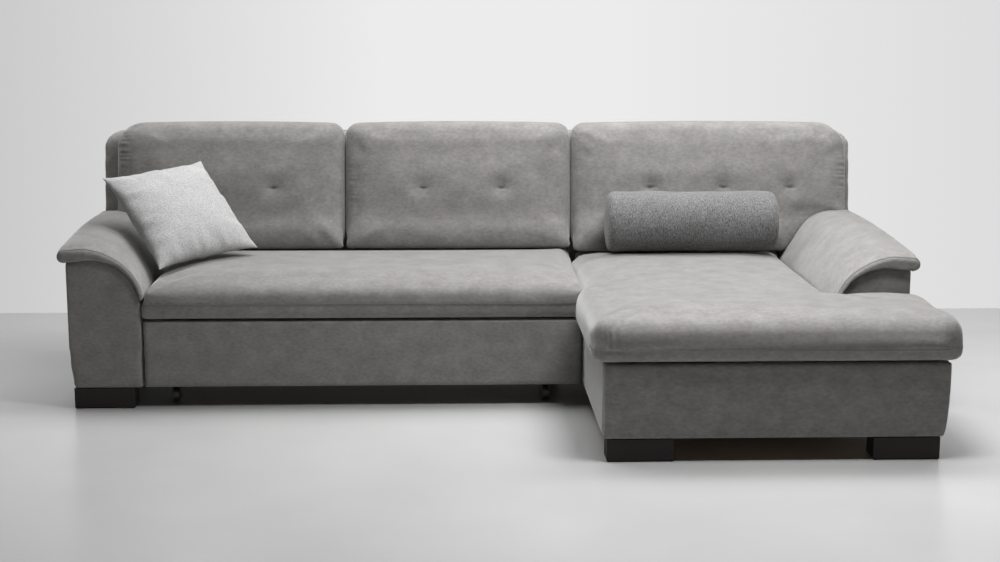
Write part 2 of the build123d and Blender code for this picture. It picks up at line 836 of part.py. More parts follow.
# Drawer rails with their rollers
roller_y = drawer_far - roller_setback
roller_z = rail_underside + rail_wall + roller_diameter / 2 + floor_clearance
for side, wall, inward in (("left", bay_left, 1), ("right", end_panel_inner, -1)):
    with BuildPart() as drawer_rail:
        outer_limits = sorted((wall, wall + inward * rail_depth))
        inner_limits = sorted((wall + inward * rail_wall, wall + inward * (rail_depth + overcut)))
        rail_near = sofa_front + end_panel_setback
        rail_far = shell_front - panel_gap
        block(*outer_limits, rail_near, rail_far, rail_underside, rail_underside + rail_height)
        block(
            *inner_limits, rail_near - overcut, rail_far + overcut, rail_underside + rail_wall,
            rail_underside + rail_height - rail_wall, mode=Mode.SUBTRACT
        )
    write(drawer_rail, f"drawer_rail_{side}")

    with BuildPart() as drawer_roller:
        roller_end = roller_offset + roller_width
        round_bar(wall, inward, roller_offset, roller_end, roller_y, roller_z, roller_diameter)
        roller_middle = wall + inward * (roller_offset + roller_width / 2)
        with Locations(Location((roller_middle, roller_y, roller_z), (0, 90, 0))):
            Cylinder(roller_axle / 2 + pivot_clearance, 2 * roller_width, mode=Mode.SUBTRACT)
    write(drawer_roller, f"drawer_roller_{side}")

    with BuildPart() as roller_axle_pin:
        round_bar(wall, inward, roller_offset - soft_gap, side_clearance, roller_y, roller_z, roller_axle)
    write(roller_axle_pin, f"roller_axle_{side}")

# Casters under the drawer front
wheel_y = sofa_front + wheel_setback
wheel_z = wheel_diameter / 2 + floor_clearance
fork_half = wheel_width / 2 + fork_clearance
fork_reach = fork_half + fork_thickness
for side, x in (("left", bay_left + wheel_side), ("right", end_panel_inner - wheel_side)):
    with BuildPart() as caster_fork:
        for left in (x - fork_reach, x + fork_half):
            block(
                left, left + fork_thickness, wheel_y - fork_width / 2, wheel_y + fork_width / 2,
                wheel_z - fork_foot, drawer_floor_height
            )
        block(
            x - fork_reach, x + fork_reach, wheel_y - fork_plate / 2, wheel_y + fork_plate / 2,
            drawer_floor_height - fork_thickness, drawer_floor_height
        )
        with Locations(Location((x, wheel_y, wheel_z), (0, 90, 0))):
            Cylinder(wheel_axle / 2, 2 * (fork_reach + axle_overhang))
    write(caster_fork, f"caster_fork_{side}")

    with BuildPart() as caster_wheel:
        with Locations(Location((x, wheel_y, wheel_z), (0, 90, 0))):
            Cylinder(wheel_diameter / 2, wheel_width)
            Cylinder(wheel_axle / 2 + pivot_clearance, 2 * wheel_width, mode=Mode.SUBTRACT)
    write(caster_wheel, f"caster_wheel_{side}")

# Scatter cushion: four sides that pull in between the corners, thick in the middle, leaning in the corner
scatter_centre = (bay_left + scatter_inset, shell_front - scatter_ahead, scatter_height)
turn = radians(scatter_turn)
lean = radians(scatter_lean)
scatter_plane = Plane(
    scatter_centre, (cos(turn), sin(turn), 0), (cos(lean) * sin(turn), -cos(lean) * cos(turn), sin(lean))
).rotated((0, 0, scatter_tip))
with BuildPart() as scatter_cushion:
    half = scatter_size / 2
    corners = [(-half, -half), (half, -half), (half, half), (-half, half)]
    pulled = half - scatter_pull
    middles = [(0, -pulled), (pulled, 0), (0, pulled), (-pulled, 0)]
    with BuildSketch(scatter_plane):
        with BuildLine():
            for number in range(4):
                ThreePointArc(corners[number], middles[number], corners[(number + 1) % 4])
        make_face()
    extrude(amount=scatter_half_thickness, both=True)
    reach = half + scatter_pull
    directions = (scatter_plane.x_dir, scatter_plane.y_dir)
    for across, along in (directions, directions[::-1]):
        with BuildSketch(Plane(scatter_centre, across, along)):
            with BuildLine():
                ThreePointArc((-reach, 0), (0, scatter_half_thickness), (reach, 0))
                ThreePointArc((reach, 0), (0, -scatter_half_thickness), (-reach, 0))
            make_face()
        extrude(amount=scatter_size, both=True, mode=Mode.INTERSECT)
write(scatter_cushion, "scatter_cushion")

# Bolster: a roll with rounded ends
bolster_height = seat_top - bolster_sink + bolster_radius + rest_gap
bolster_centre = (bay_right + bolster_inset, shell_front - bolster_ahead, bolster_height)
with BuildPart() as bolster:
    with Locations(Location(bolster_centre, (0, 90, 0))):
        Cylinder(bolster_radius, bolster_length)
    chamfer(bolster.edges().filter_by(GeomType.CIRCLE), bolster_edge, bolster_edge / 2)
write(bolster, "bolster")
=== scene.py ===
import json
import math

import bmesh
import bpy
import numpy as np
from mathutils import Matrix, Vector


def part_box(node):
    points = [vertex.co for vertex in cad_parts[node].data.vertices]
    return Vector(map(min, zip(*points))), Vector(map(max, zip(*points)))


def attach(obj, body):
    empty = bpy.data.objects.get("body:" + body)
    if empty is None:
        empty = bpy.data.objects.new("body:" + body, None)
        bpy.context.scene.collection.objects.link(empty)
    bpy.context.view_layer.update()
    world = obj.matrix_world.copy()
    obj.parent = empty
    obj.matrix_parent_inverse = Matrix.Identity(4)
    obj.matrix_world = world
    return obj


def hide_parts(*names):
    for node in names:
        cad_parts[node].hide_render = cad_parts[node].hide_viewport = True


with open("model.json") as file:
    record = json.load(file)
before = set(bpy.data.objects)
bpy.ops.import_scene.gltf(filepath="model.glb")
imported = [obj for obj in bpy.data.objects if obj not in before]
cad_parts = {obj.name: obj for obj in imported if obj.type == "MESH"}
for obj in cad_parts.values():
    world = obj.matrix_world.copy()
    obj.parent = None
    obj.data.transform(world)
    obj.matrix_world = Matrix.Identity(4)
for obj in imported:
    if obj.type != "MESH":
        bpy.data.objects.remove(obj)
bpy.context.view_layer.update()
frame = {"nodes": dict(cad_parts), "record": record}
nodes = frame["nodes"]
scene = bpy.context.scene

# Camera, fitted to the feet, the panels and the drawer front
image_width = 1000
focal_pixels = 1600
sensor_width = 36
camera_place = Vector((-0.143, -5.275, 1.352))
camera_yaw = -0.0376
camera_pitch = 0.1783
camera_roll = 0.0024

# Cloth, and the most that it may move a point
sim_frames = 20
sim_pressure = 3
cloth_stiffness = 25
cloth_bending = 3
seat_cap = 0.011
back_cap = 0.006
pad_cap = 0.005
scatter_cap = 0.006

# Cell sizes of the covers' meshes, and passes that ease their edges
seat_voxel = 0.012
back_voxel = 0.010
pad_voxel = 0.007
panel_voxel = 0.009
shell_voxel = 0.014
seat_passes = 4
back_passes = 6
back_front_passes = 40
back_last_passes = 24
pad_passes = 2

# Panels and shells: a band of heights that is eased more, and how far the shells' outer ends go
eased_low = 0.085
eased_high = 0.20
eased_factor = 4
shell_reach = {"sofa_back_shell": -0.008, "chaise_back_shell": 0.026}
shell_reach_full = 0.03
shell_reach_end = 0.10

# Seat cushions: what is eased and held before the cloth runs
seat_kept_base = 0.02
seat_eased_above = 0.01
seat_eased_rear = 0.05
seat_waist = 0.055
seat_held_base = 0.035
seat_held_side = 0.03

# Seat cushions: the crown, the band under the seam, the roll above it and the side edges
seat_seam_height = 0.350
chaise_seam_height = 0.336
crown_percentile = 99.7
settle_base = 0.06
side_full = 0.02
side_end = 0.12
inset_depth = 0.003
inset_above = 0.003
inset_below = 0.007
rim_drop = 0.003
rim_height = 0.02
front_fill = 0.011
roll_height = 0.030
roll_width = 0.034
roll_end = 0.09
edge_width = 0.035
lift_width = 0.06
lift_share = 0.4
lift_start = 0.35
lift_full = 0.05

# Back cushions: the lean of the frame's back, and the depths that count as the shell's side and as the face
back_lean = math.radians(9)
lean_start = 0.430
back_held_depth = 0.035
back_eased_depth = 0.05
back_last_depth = 0.06
face_start = 0.04
face_full = 0.07

# Back cushions: corners, crown, right end and the fuller foot that lies on the seat
corner_power = 8
back_corner = 0.050
top_crown = 0.007
crown_start = 0.28
crown_full = 0.44
end_fill = {"back_cushion_left": 0.0, "back_cushion_middle": 0.0, "back_cushion_right": 0.026}
end_width = 0.06
low_fill = 0.027
low_fill_height = 0.025
low_fill_width = 0.070
low_drop = {"back_cushion_left": 0.022, "back_cushion_middle": 0.022, "back_cushion_right": 0.040}
foot_height = 0.09
foot_fill = 0.016
foot_fill_width = 0.05

# Tufts: places across each back cushion, a wide dimple, a short crease in it and a stitch pit darkened with
# painted shade
tuft_height = 0.214
tuft_shares = {
    "back_cushion_left": (0.345, 0.69),
    "back_cushion_middle": (0.345, 0.69),
    "back_cushion_right": (0.285, 0.552, 0.795),
}
dimple_depth = 0.006
dimple_width = 0.040
dimple_height = 0.034
crease_depth = 0.004
crease_width = 0.016
crease_height = 0.006
pit_shade_width = 0.013
pit_shade_height = 0.0036

# Gathers at one side seam of each back cushion and at the chaise's front left corner
gather_pitch = 0.018
gather_depth = 0.0022
gather_drift = 1.6
gather_drift_rate = 95
gather_fan = 22
gather_width = 0.032
back_gathers = {
    "back_cushion_left": {"side": "left", "inset": 0.012, "height": 0.36, "length": 0.065, "strength": 1.0},
    "back_cushion_middle": {"side": "left", "inset": 0.008, "height": 0.22, "length": 0.100, "strength": 0.5},
    "back_cushion_right": {"side": "right", "inset": 0.012, "height": 0.27, "length": 0.060, "strength": 1.0},
}
corner_gather_inset = 0.045
corner_gather_width = 0.045
corner_gather_height = 0.385
corner_gather_length = 0.035
corner_gather_reach = 0.10

# Arm pads
pad_held_rear = 0.03
pad_held_nose = 0.012
pad_upper_start = 0.09
pad_upper_full = 0.01
pad_rise = 0.030
pad_belly = 0.011
pad_droop = 0.007
pad_droop_length = 0.035

# Sewn lines; a run with no more points than the shortest one is dropped
seam_radius = 0.0013
shortest_run = 12
seat_seam_reach = 0.06
chaise_seam_reach = 0.08
pad_seam_inset = 0.009
pad_seam_base = 0.03

# Scatter cushion, in the plane that the frame gives it
scatter_size = 0.410
scatter_half_thickness = 0.068
scatter_pull = 0.013
scatter_turn = math.radians(39.5)
scatter_lean = math.radians(45.5)
scatter_tip = math.radians(6)
scatter_cells = 40
scatter_raise = 0.004
scatter_ear = 0.024
scatter_plump = 0.45

# Puckers along the scatter cushion's edges: each wave's weight, rate, drift and start, and the faces' shifts
pucker_depth = 0.11
pucker_waves = ((1.0, 11, 0, 2), (0.7, 19, 5, 0), (0.5, 31, 0, 0))
pucker_shift_upright = 0.3
pucker_shift_level = 0.2

# Bolster: shares of its radius, the form of its ends, and waves by depth, rate around and rate along
bolster_rings = 100
bolster_spokes = 96
bolster_girth = 0.985
bolster_rise = 1.09
bolster_floor = 0.84
bolster_give = 0.14
bolster_end_power = 40
bolster_end_shape = 0.40
bolster_gathers = 16
bolster_gather_depth = 0.025
bolster_gather_power = 30
bolster_waves = ((0.010, 3, 5), (0.008, 0, 11))

# Stage
floor_rear = 1.5
floor_half = 14


def points_of(piece):
    """Vertex positions as an array with one row each."""
    flat = np.empty(len(piece.data.vertices) * 3, np.float32)
    piece.data.vertices.foreach_get("co", flat)
    return flat.reshape(-1, 3).astype(float)


def move_points(piece, points):
    piece.data.vertices.foreach_set("co", points.astype(np.float32).ravel())
    piece.data.update()


def smooth_step(low, high, value):
    """0 at low, 1 at high, with a soft change between; low may be the larger one."""
    share = np.clip((value - low) / (high - low), 0, 1)
    return share * share * (3 - 2 * share)


def bell(value, width):
    """1 at zero, falling off to both sides over the width."""
    return np.exp(-(value / width) ** 2)


def folds(along, inward):
    """Heights of uneven gathers that repeat along a seam and fan out a little away from it."""
    drift = gather_drift * np.sin(gather_drift_rate * along)
    return gather_depth * np.sin(2 * math.pi * along / gather_pitch + drift + gather_fan * inward)


def squarer(first, second, radius):
    """Depths in from the two sides of a rounded corner, changed so that the corner is nearly square."""
    a = np.clip(1 - first / radius, 0, None)
    b = np.clip(1 - second / radius, 0, None)
    square = (a ** corner_power + b ** corner_power) ** (1 / corner_power)
    reach = np.hypot(a, b) / np.maximum(square, 1e-9)
    grow = np.where((a > 0) & (b > 0), reach - 1, 0) * radius
    first_depth = np.maximum(first - grow * a, np.minimum(first, 0))
    second_depth = np.maximum(second - grow * b, np.minimum(second, 0))
    return first_depth, second_depth


def new_piece(name, mesh):
    piece = bpy.data.objects.new(name, mesh)
    scene.collection.objects.link(piece)
    return piece


def bake(piece):
    """Replaces a piece's mesh by what its modifiers make of it."""
    bpy.context.view_layer.update()
    graph = bpy.context.evaluated_depsgraph_get()
    mesh = bpy.data.meshes.new_from_object(piece.evaluated_get(graph))
    piece.modifiers.clear()
    piece.data = mesh


def shade_smooth(piece):
    piece.data.polygons.foreach_set("use_smooth", [True] * len(piece.data.polygons))
    piece.data.update()


def paint(piece, name, values):
    """Keeps a value at each vertex, for the materials."""
    layer = piece.data.attributes.new(name, "FLOAT", "POINT")
    layer.data.foreach_set("value", values.astype(np.float32))


def ease(piece, chosen, passes):
    """Eases the chosen points of a piece and leaves the others where they are."""
    group = piece.vertex_groups.new(name="chosen")
    group.add([int(index) for index in np.flatnonzero(chosen)], 1.0, "REPLACE")
    smooth = piece.modifiers.new("ease", "SMOOTH")
    smooth.factor = 0.5
    smooth.iterations = passes
    smooth.vertex_group = "chosen"
    bake(piece)
    piece.vertex_groups.clear()


def soft_copy(name, node, voxel, passes, kept_base=0.0):
    """A remeshed copy of a solid with its edges eased, except over a base that keeps its rim."""
    piece = new_piece(name, nodes[node].data.copy())
    piece.data.materials.clear()
    remesh = piece.modifiers.new("voxels", "REMESH")
    remesh.mode = "VOXEL"
    remesh.voxel_size = voxel
    bake(piece)
    heights = points_of(piece)[:, 2]
    ease(piece, heights >= heights.min() + kept_base, passes)
    return piece


def subdivide(piece):
    refine = piece.modifiers.new("refine", "SUBSURF")
    refine.levels = 1
    refine.render_levels = 1
    bake(piece)


def add_cloth(piece, held):
    """Gives a piece the cloth that swells under pressure, held fast at the given points."""
    group = piece.vertex_groups.new(name="held")
    group.add([int(index) for index in np.flatnonzero(held)], 1.0, "REPLACE")
    cloth = piece.modifiers.new("cloth", "CLOTH")
    cloth.settings.use_pressure = True
    cloth.settings.uniform_pressure_force = sim_pressure
    cloth.settings.vertex_group_mass = "held"
    cloth.settings.effector_weights.gravity = 0
    cloth.settings.tension_stiffness = cloth_stiffness
    cloth.settings.compression_stiffness = cloth_stiffness
    cloth.settings.bending_stiffness = cloth_bending
    cloth.collision_settings.use_collision = False
    cloth.point_cache.frame_start = 1
    cloth.point_cache.frame_end = sim_frames


def swell(jobs):
    """Runs the cloth of all jobs side by side; a job is a piece, its held points and a cap."""
    starts = []
    for piece, held, cap in jobs:
        starts.append(points_of(piece))
        add_cloth(piece, held)
    scene.frame_start = 1
    scene.frame_end = sim_frames
    for number in range(1, sim_frames + 1):
        scene.frame_set(number)
    for (piece, held, cap), start in zip(jobs, starts):
        bake(piece)
        moved = points_of(piece) - start
        length = np.linalg.norm(moved, axis=1, keepdims=True)
        share = cap * np.tanh(length / cap) / np.maximum(length, 1e-9)
        move_points(piece, start + moved * share)
    scene.frame_set(1)


def settle_top(piece, base, top):
    """Scales a cushion's height over its base so that its crown ends at the top."""
    points = points_of(piece)
    crown = np.percentile(points[:, 2], crown_percentile)
    above = points[:, 2] > base
    points[above, 2] = base + (points[above, 2] - base) * (top - base) / (crown - base)
    move_points(piece, points)


def cut_runs(piece, place, normal, keep):
    """Ordered runs of points where a plane cuts a piece, kept where the test holds."""
    cut = bmesh.new()
    cut.from_mesh(piece.data)
    geometry = cut.verts[:] + cut.edges[:] + cut.faces[:]
    found = bmesh.ops.bisect_plane(cut, geom=geometry, plane_co=place, plane_no=normal)["geom_cut"]
    cut.verts.index_update()
    links = {}
    spots = {}
    for edge in found:
        if not isinstance(edge, bmesh.types.BMEdge):
            continue
        first, second = edge.verts
        if keep(first.co) and keep(second.co):
            links.setdefault(first.index, []).append(second.index)
            links.setdefault(second.index, []).append(first.index)
            spots[first.index] = first.co.copy()
            spots[second.index] = second.co.copy()
    cut.free()
    runs = []
    waiting = set(links)
    ends = sorted(index for index in links if len(links[index]) == 1)
    for start in ends + sorted(links):
        if start not in waiting:
            continue
        run = [start]
        waiting.discard(start)
        onward = [index for index in links[start] if index in waiting]
        while onward:
            run.append(onward[0])
            waiting.discard(onward[0])
            onward = [index for index in links[run[-1]] if index in waiting]
        if len(run) > shortest_run:
            runs.append([spots[index] for index in run])
    return runs


def sew(name, piece, node, place, normal, keep):
    """A sewn line where a plane meets a cover."""
    for number, run in enumerate(cut_runs(piece, place, normal, keep)):
        curve = bpy.data.curves.new(f"{name}_{number}", "CURVE")
        curve.dimensions = "3D"
        curve.bevel_depth = seam_radius
        curve.bevel_resolution = 1
        curve.use_fill_caps = True
        line = curve.splines.new("POLY")
        line.points.add(len(run) - 1)
        for point, spot in zip(line.points, run):
            point.co = (*spot, 1)
        draft = new_piece(f"{name}_draft_{number}", curve)
        bpy.context.view_layer.update()
        graph = bpy.context.evaluated_depsgraph_get()
        mesh = bpy.data.meshes.new_from_object(draft.evaluated_get(graph))
        bpy.data.objects.remove(draft)
        seam = new_piece(f"{name}_{number}", mesh)
        shade_smooth(seam)
        # Dark thread whose colour partly paints the shade of the seam's groove.
        mesh.materials.append(seam_thread_and_shade)
        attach(seam, body_of_node[node])


# Materials
def new_material(name):
    material = bpy.data.materials.new(name)
    material.use_nodes = True
    tree = material.node_tree
    return material, tree, tree.nodes["Principled BSDF"]


def add_place(tree, stretch=(1, 1, 1)):
    """Places in the frame's own metres, so a pattern keeps its scale on every piece."""
    place = tree.nodes.new("ShaderNodeTexCoord")
    mapping = tree.nodes.new("ShaderNodeMapping")
    mapping.inputs["Scale"].default_value = stretch
    tree.links.new(place.outputs["Object"], mapping.inputs["Vector"])
    return mapping.outputs["Vector"]


def add_noise(tree, scale, detail, stretch=(1, 1, 1)):
    noise = tree.nodes.new("ShaderNodeTexNoise")
    noise.inputs["Scale"].default_value = scale
    noise.inputs["Detail"].default_value = detail
    tree.links.new(add_place(tree, stretch), noise.inputs["Vector"])
    return noise.outputs["Fac"]


def add_ramp(tree, factor, stops):
    ramp = tree.nodes.new("ShaderNodeValToRGB")
    elements = ramp.color_ramp.elements
    while len(elements) < len(stops):
        elements.new(0.5)
    for element, (position, colour) in zip(elements, stops):
        element.position = position
        element.color = (*colour, 1)
    tree.links.new(factor, ramp.inputs["Fac"])
    return ramp.outputs["Color"]


def multiply(tree, first, second):
    mix = tree.nodes.new("ShaderNodeMix")
    mix.data_type = "RGBA"
    mix.blend_type = "MULTIPLY"
    mix.inputs["Factor"].default_value = 1
    tree.links.new(first, mix.inputs["A"])
    tree.links.new(second, mix.inputs["B"])
    return mix.outputs["Result"]


def add_bump(tree, shader, layers):
    """Stacks bump layers; each is a height, its strength and its depth in metres."""
    normal = None
    for height, strength, depth in layers:
        bump = tree.nodes.new("ShaderNodeBump")
        bump.inputs["Strength"].default_value = strength
        bump.inputs["Distance"].default_value = depth
        tree.links.new(height, bump.inputs["Height"])
        if normal:
            tree.links.new(normal, bump.inputs["Normal"])
        normal = bump.outputs["Normal"]
    tree.links.new(normal, shader.inputs["Normal"])


def grey(value, warm=0.0):
    return (value * (1 + warm), value, value * (1 - warm))


def make_microfibre():
    """Brushed grey microfibre: nap mottling, fine pile, painted shade in the tufts' stitch pits and a soft
    sheen.
    """
    material, tree, shader = new_material("microfibre")
    blotches = add_noise(tree, scale=19, detail=5, stretch=(0.85, 1, 1.1))
    strokes = add_noise(tree, scale=120, detail=5, stretch=(0.6, 1, 1))
    pile = add_noise(tree, scale=900, detail=2)
    # Painted shade: a value kept at each vertex darkens the colour, down to a quarter, in each tuft's stitch
    # pit.
    pit_shade_layer = tree.nodes.new("ShaderNodeAttribute")
    pit_shade_layer.attribute_name = "pit_shade"
    base = add_ramp(tree, blotches, [(0.32, grey(0.210, 0.036)), (0.68, grey(0.262, 0.026))])
    nap = add_ramp(tree, strokes, [(0.28, grey(0.83)), (0.72, grey(1.11))])
    grain = add_ramp(tree, pile, [(0.25, grey(0.88)), (0.75, grey(1.10))])
    dark = add_ramp(tree, pit_shade_layer.outputs["Fac"], [(0.0, grey(1.0)), (1.0, grey(0.25))])
    colour = multiply(tree, multiply(tree, multiply(tree, base, nap), grain), dark)
    tree.links.new(colour, shader.inputs["Base Color"])
    shader.inputs["Roughness"].default_value = 0.95
    shader.inputs["Specular IOR Level"].default_value = 0.15
    shader.inputs["Sheen Weight"].default_value = 0.6
    shader.inputs["Sheen Roughness"].default_value = 0.38
    shader.inputs["Sheen Tint"].default_value = (0.92, 0.92, 0.93, 1)
    add_bump(tree, shader, [(strokes, 0.10, 0.0015), (pile, 0.25, 0.0006)])
    return material


def make_weave(name, dark, light, scale, stretch, contrast):
    """A flecked woven cover: crossing yarns with a scatter of lighter fibres."""
    material, tree, shader = new_material(name)
    flecks = add_noise(tree, scale=scale, detail=3, stretch=stretch)
    yarns = add_noise(tree, scale=scale * 3.1, detail=1, stretch=stretch[::-1])
    worn = add_noise(tree, scale=14, detail=4)
    base = add_ramp(tree, flecks, [(0.5 - contrast, dark), (0.5 + contrast, light)])
    thread = add_ramp(tree, yarns, [(0.3, grey(0.80)), (0.7, grey(1.14))])
    shade = add_ramp(tree, worn, [(0.3, grey(0.93)), (0.7, grey(1.04))])
    colour = multiply(tree, multiply(tree, base, thread), shade)
    tree.links.new(colour, shader.inputs["Base Color"])
    shader.inputs["Roughness"].default_value = 0.95
    shader.inputs["Specular IOR Level"].default_value = 0.15
    shader.inputs["Sheen Weight"].default_value = 0.2
    shader.inputs["Sheen Roughness"].default_value = 0.5
    add_bump(tree, shader, [(flecks, 0.4, 0.0012), (yarns, 0.4, 0.0007)])
    return material


def make_wood(name, dark, light, roughness, stretch):
    """Wood with a grain that runs along the stretched axis, and fine pores."""
    material, tree, shader = new_material(name)
    grain = add_noise(tree, scale=26, detail=8, stretch=stretch)
    pores = add_noise(tree, scale=260, detail=3, stretch=stretch)
    base = add_ramp(tree, grain, [(0.32, dark), (0.68, light)])
    speck = add_ramp(tree, pores, [(0.35, grey(0.82)), (0.65, grey(1.08))])
    tree.links.new(multiply(tree, base, speck), shader.inputs["Base Color"])
    shader.inputs["Roughness"].default_value = roughness
    shader.inputs["Specular IOR Level"].default_value = 0.3
    add_bump(tree, shader, [(grain, 0.15, 0.0008), (pores, 0.12, 0.0004)])
    return material


def make_hard(name, dark, light, roughness, metallic):
    """Painted steel, moulded plastic or waxed thread with faint wear."""
    material, tree, shader = new_material(name)
    wear = add_noise(tree, scale=60, detail=6)
    grain = add_noise(tree, scale=700, detail=2)
    colour = add_ramp(tree, wear, [(0.35, dark), (0.75, light)])
    tree.links.new(colour, shader.inputs["Base Color"])
    shader.inputs["Roughness"].default_value = roughness
    shader.inputs["Metallic"].default_value = metallic
    add_bump(tree, shader, [(grain, 0.12, 0.0003)])
    return material


microfibre = make_microfibre()
scatter_cover = make_weave(
    "scatter_weave", grey(0.31), grey(0.55), scale=260, stretch=(1, 1, 1), contrast=0.20
)
bolster_cover = make_weave(
    "bolster_tweed", grey(0.08), grey(0.25), scale=210, stretch=(1.8, 1, 0.6), contrast=0.17
)
foot_wood = make_wood(
    "foot_wood", (0.004, 0.0025, 0.002), (0.009, 0.006, 0.005), roughness=0.6, stretch=(0.2, 1, 1)
)
board_wood = make_wood(
    "board_wood", (0.42, 0.29, 0.17), (0.58, 0.43, 0.27), roughness=0.65, stretch=(0.25, 1, 1)
)
steel = make_hard("black_steel", grey(0.025), grey(0.06), roughness=0.45, metallic=0.6)
nylon = make_hard("black_nylon", grey(0.02), grey(0.035), roughness=0.5, metallic=0.0)
# Sewn lines: their dark grey is partly the thread's own colour and partly painted shade of the groove along
# each seam.
seam_thread_and_shade = make_hard("seam_thread_and_shade", grey(0.15), grey(0.20), roughness=0.9, metallic=0.0)
strap = make_weave("strap_weave", grey(0.03), grey(0.06), scale=400, stretch=(1, 1, 1), contrast=0.12)

slot_materials = {
    "upholstery": microfibre,
    "scatter_cover": scatter_cover,
    "bolster_cover": bolster_cover,
    "foot_wood": foot_wood,
    "board": board_wood,
    "steel": steel,
    "wheel_plastic": nylon,
    "webbing": strap,
}
body_of_node = {
    node: body
    for body, members in frame["record"]["behaviour"]["bodies"].items()
    for node in members
}
for row in frame["record"]["subparts"]:
    mesh = nodes[row["node"]].data
    mesh.materials.clear()
    mesh.materials.append(slot_materials[row["material_slot"]])


def dress(piece, node, material):
    """Finishes a cover: material, body, the node it stands for and its filling."""
    piece.data.materials.clear()
    piece.data.materials.append(material)
    shade_smooth(piece)
    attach(piece, body_of_node[node])
    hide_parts(node)


# Upholstered panels, arms and shells: foam over boards, so their edges are eased
panel_forms = {
    "drawer_front": (panel_voxel, 2),
    "chaise_front_panel": (panel_voxel, 2),
    "chaise_left_panel": (panel_voxel, 1),
    "chaise_right_panel": (panel_voxel, 2),
    "chaise_rear_rail": (panel_voxel, 2),
    "left_arm_core": (panel_voxel, 7),
    "right_arm_core": (panel_voxel, 7),
    "sofa_back_shell": (shell_voxel, 4),
    "chaise_back_shell": (shell_voxel, 4),
}


def stretch_shell(piece, node):
    """Moves a shell's outer end along, to the left or to the right."""
    low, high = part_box(node)
    end = high.x if shell_reach[node] > 0 else low.x
    points = points_of(piece)
    near = smooth_step(shell_reach_end, shell_reach_full, np.abs(points[:, 0] - end))
    points[:, 0] += shell_reach[node] * near
    move_points(piece, points)


for panel_node, (panel_cell, panel_passes) in panel_forms.items():
    panel_cover = soft_copy(f"{panel_node}_cover", panel_node, panel_cell, panel_passes)
    panel_heights = points_of(panel_cover)[:, 2]
    panel_band = (panel_heights > eased_low) & (panel_heights < eased_high)
    ease(panel_cover, panel_band, eased_factor * panel_passes)
    if panel_node in shell_reach:
        stretch_shell(panel_cover, panel_node)
    dress(panel_cover, panel_node, microfibre)


# Seat cushions: swollen covers, held at the underside and at their neighbours
def make_seat(node, seam_height, tight_sides):
    """A seat cover before its cloth, with the points that stay put."""
    low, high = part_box(node)
    piece = soft_copy(f"{node}_cover", node, seat_voxel, seat_passes, kept_base=seat_kept_base)
    x, y, z = points_of(piece).T
    ease(piece, (z > seam_height + seat_eased_above) & (y < high.y - seat_eased_rear), seat_passes)
    x, y, z = points_of(piece).T
    waist = z < high.z - seat_waist
    held = z < low.z + seat_held_base
    held |= waist & (y > high.y - seat_held_side)
    if tight_sides:
        held |= waist & (x < low.x + seat_held_side)
        held |= waist & (x > high.x - seat_held_side)
    return piece, held


def finish_seat(piece, node, seam_height, edge_shift, side_fill, left_lift, right_lift):
    """Sets the crown, draws the band in under the seam, rolls the sides out, and moves the side edges."""
    low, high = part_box(node)
    settle_top(piece, low.z + settle_base, high.z)
    subdivide(piece)
    points = points_of(piece)
    x, y, z = points.T  # views: a change to them moves the points
    near = smooth_step(low.y + side_end, low.y + side_full, y)
    below = smooth_step(seam_height + inset_above, seam_height - inset_below, z)
    y += inset_depth * near * below
    inside = smooth_step(low.x, low.x + roll_end, x) * smooth_step(high.x, high.x - roll_end, x)
    y -= front_fill * near * inside * bell(z - seam_height - roll_height, roll_width)
    z -= rim_drop * smooth_step(low.z + rim_height, low.z, z)
    upper = smooth_step(seam_height, high.z, z)
    x += edge_shift * upper * bell(x - high.x, edge_width)
    sideways = smooth_step(high.x - side_end, high.x - side_full, x)
    sideways -= smooth_step(low.x + side_end, low.x + side_full, x)
    sideways *= smooth_step(low.y, low.y + roll_end, y)
    x += side_fill * sideways * bell(z - seam_height - roll_height, roll_width)
    rearward = lift_share + (1 - lift_share) * smooth_step(high.y - lift_start, high.y - lift_full, y)
    for side, lift in ((low.x, left_lift), (high.x, right_lift)):
        z += lift * upper * bell(x - side, lift_width) * rearward
    move_points(piece, points)
    dress(piece, node, microfibre)


seat_piece, seat_held = make_seat("seat_cushion", seat_seam_height, tight_sides=True)
chaise_piece, chaise_held = make_seat("chaise_cushion", chaise_seam_height, tight_sides=False)


# Back cushions: swollen covers held at the shell, drawn in at the tufts and fuller low down
shell_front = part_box("chaise_left_panel")[1].y


def back_coordinates(points):
    """Height along the leaning back, and distance out from it."""
    y = points[:, 1] - shell_front
    z = points[:, 2] - lean_start
    along = y * math.sin(back_lean) + z * math.cos(back_lean)
    outward = z * math.sin(back_lean) - y * math.cos(back_lean)
    return along, outward


def tuft_offsets(points, node):
    """Distances across and up from each tuft of a back cushion."""
    low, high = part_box(node)
    along = back_coordinates(points)[0]
    for share in tuft_shares[node]:
        yield points[:, 0] - (low.x + share * (high.x - low.x)), along - tuft_height


def make_back(node):
    """A back cover before its cloth, with the points that stay put."""
    piece = soft_copy(f"{node}_cover", node, back_voxel, back_passes)
    outward = back_coordinates(points_of(piece))[1]
    ease(piece, outward > back_eased_depth, back_front_passes)
    outward = back_coordinates(points_of(piece))[1]
    return piece, outward < back_held_depth


